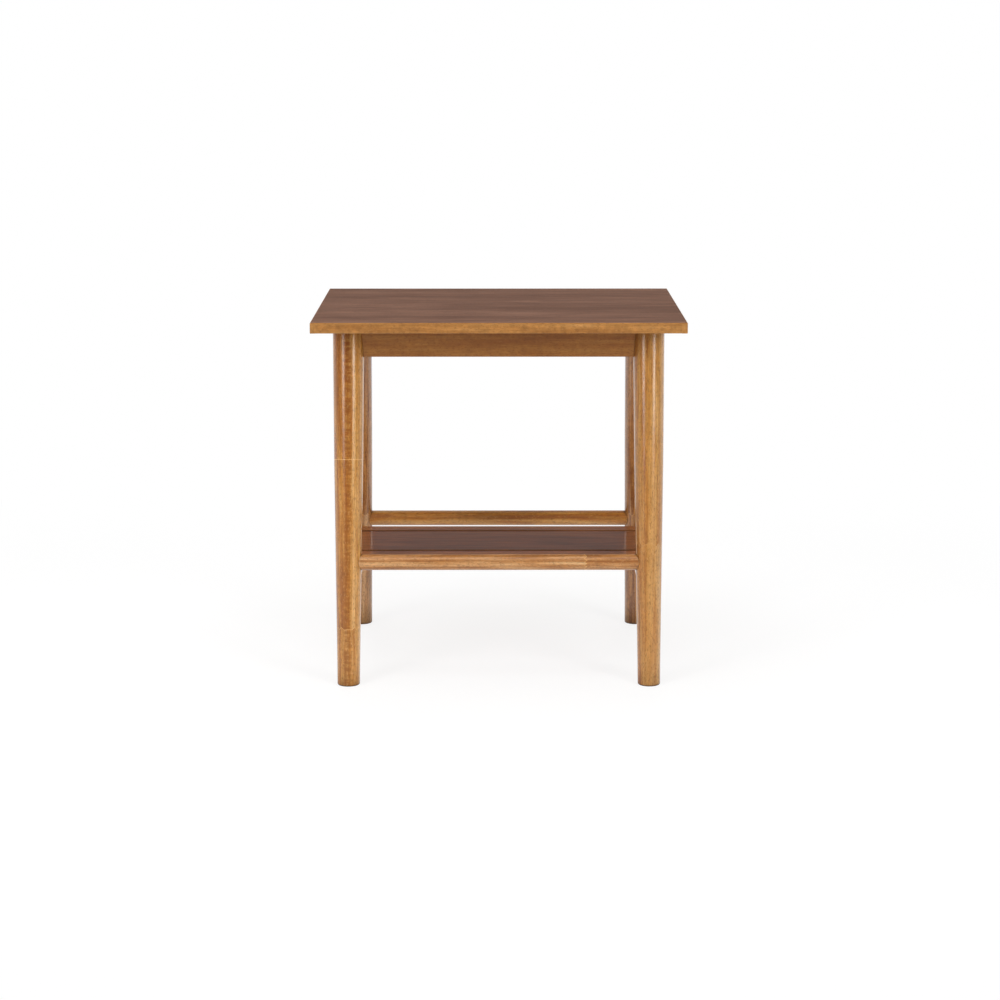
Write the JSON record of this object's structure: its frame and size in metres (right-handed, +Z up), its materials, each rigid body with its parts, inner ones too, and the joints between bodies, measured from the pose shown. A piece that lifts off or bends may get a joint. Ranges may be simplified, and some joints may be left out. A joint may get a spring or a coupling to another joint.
{
  "type": "end table with shelf",
  "caption": "End table with splayed round tapered legs, a banded rectangular top and a slatted low shelf between round stretchers.",
  "frame": {"origin": "on the floor, under the middle of the top", "axes": "+X to the viewer's right along the longer side of the top, +Y from the front to the back, +Z up"},
  "size_m": [0.559, 0.457, 0.559],
  "materials": {
    "top_veneer": "satin",
    "panel_board": "matt",
    "shelf_veneer": "gloss",
    "leg_wood": "satin",
    "apron_wood": "satin",
    "block_wood": "matt",
    "screw_steel": "satin"
  },
  "bodies": {
    "root": {"top_face_veneer": "top_veneer", "top_panel": "panel_board", "top_band_front": "leg_wood", "top_band_rear": "leg_wood", "top_band_left": "leg_wood", "top_band_right": "leg_wood", "leg_front_left": "leg_wood", "leg_front_right": "leg_wood", "leg_rear_left": "leg_wood", "leg_rear_right": "leg_wood", "apron_front": "apron_wood", "apron_rear": "apron_wood", "apron_left": "apron_wood", "apron_right": "apron_wood", "stretcher_front": "leg_wood", "stretcher_rear": "leg_wood", "shelf_rail_left": "leg_wood", "shelf_rail_right": "leg_wood", "shelf_board": "shelf_veneer", "shelf_slat_front": "shelf_veneer", "shelf_slat_rear": "shelf_veneer", "corner_block_front_left": "block_wood", "corner_block_front_right": "block_wood", "corner_block_rear_left": "block_wood", "corner_block_rear_right": "block_wood", "apron_dowels": "block_wood", "block_screws": "screw_steel", "top_screws": "screw_steel", "shelf_screws": "screw_steel"}
  },
  "joints": []
}
